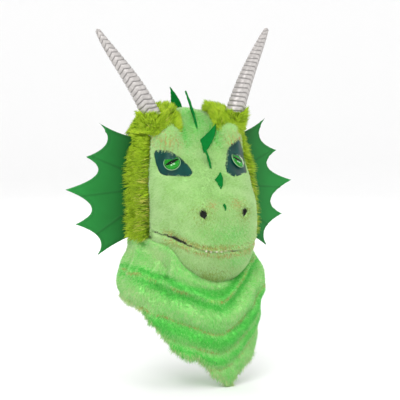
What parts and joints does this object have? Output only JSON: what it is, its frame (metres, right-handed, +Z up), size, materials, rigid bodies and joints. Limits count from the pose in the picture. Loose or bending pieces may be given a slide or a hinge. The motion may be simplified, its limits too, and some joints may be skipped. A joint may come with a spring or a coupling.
{
  "type": "dragon mask",
  "caption": "Full-head furry dragon mask with hinged jaw, horns, scalloped side fins, midline spines, domed eyes, neck collar and bib.",
  "frame": {"origin": "centre of the flat underside of the crown pad, where the wearer's crown bears", "axes": "+Z up along the wearer's head, -Y the way the snout points, +X the dragon's left"},
  "size_m": [0.4406, 0.2679, 0.6118],
  "materials": {
    "shell_plastic": "matte",
    "mint_plush": "short plush",
    "green_plush": "short plush",
    "lime_fur": "long pile fur",
    "horn_silver": "metallic paint",
    "foam": "open-cell foam",
    "flange_plastic": "matte",
    "fin_satin": "satin",
    "green_felt": "felt",
    "eye_gloss": "gloss",
    "iris_green": "gloss",
    "dome_clear": "clear gloss",
    "black_cloth": "matte",
    "tooth_ivory": "satin",
    "webbing_black": "woven",
    "elastic_white": "knitted elastic",
    "slider_plastic": "matte",
    "rivet_steel": "satin",
    "washer_nylon": "matte"
  },
  "bodies": {
    "head": {"head_shell": "shell_plastic", "face_cover": "mint_plush", "hood_cover": "lime_fur", "mane_left": "lime_fur", "mane_right": "lime_fur", "horn_tuft_left": "lime_fur", "horn_tuft_right": "lime_fur", "horn_skin_left": "horn_silver", "horn_skin_right": "horn_silver", "horn_core_left": "foam", "horn_core_right": "foam", "horn_flange_left": "flange_plastic", "horn_flange_right": "flange_plastic", "fin_cover_left": "fin_satin", "fin_cover_right": "fin_satin", "fin_core_left": "foam", "fin_core_right": "foam", "spine_1": "green_felt", "spine_2": "green_felt", "spine_3": "green_felt", "spine_4": "green_felt", "spine_5": "green_felt", "spine_6": "green_felt", "eye_surround_left": "eye_gloss", "eye_surround_right": "eye_gloss", "eye_iris_left": "iris_green", "eye_iris_right": "iris_green", "eye_dome_left": "dome_clear", "eye_dome_right": "dome_clear", "nostril_left": "black_cloth", "nostril_right": "black_cloth", "upper_teeth": "tooth_ivory", "upper_lining": "black_cloth", "crown_pad": "foam", "brow_pad": "foam", "strap_anchor_left": "webbing_black", "strap_anchor_right": "webbing_black", "head_strap_left": "webbing_black", "head_strap_right": "webbing_black", "strap_slider": "slider_plastic", "hinge_plate_left": "shell_plastic", "hinge_plate_right": "shell_plastic", "hinge_pin_left": "rivet_steel", "hinge_pin_right": "rivet_steel", "hinge_washer_left": "washer_nylon", "hinge_washer_right": "washer_nylon", "jaw_elastic_left": "elastic_white", "jaw_elastic_right": "elastic_white", "neck_collar": "green_plush", "bib": "green_plush"},
    "jaw": {"jaw_shell": "shell_plastic", "jaw_cover": "mint_plush", "jaw_arm_left": "shell_plastic", "jaw_arm_right": "shell_plastic", "lower_teeth": "tooth_ivory", "lower_lining": "black_cloth", "chin_pad": "foam", "chin_strap": "webbing_black"}
  },
  "joints": [
    {"name": "jaw_hinge", "type": "hinge", "parent": "head", "child": "jaw", "pos_m": [0, 0, -0.135], "axis": [1, 0, 0], "range_deg": [0, 18], "stiffness_Nm_per_rad": 0.8, "springref_deg": -20.05, "deforming": ["jaw_elastic_left", "jaw_elastic_right"]}
  ]
}
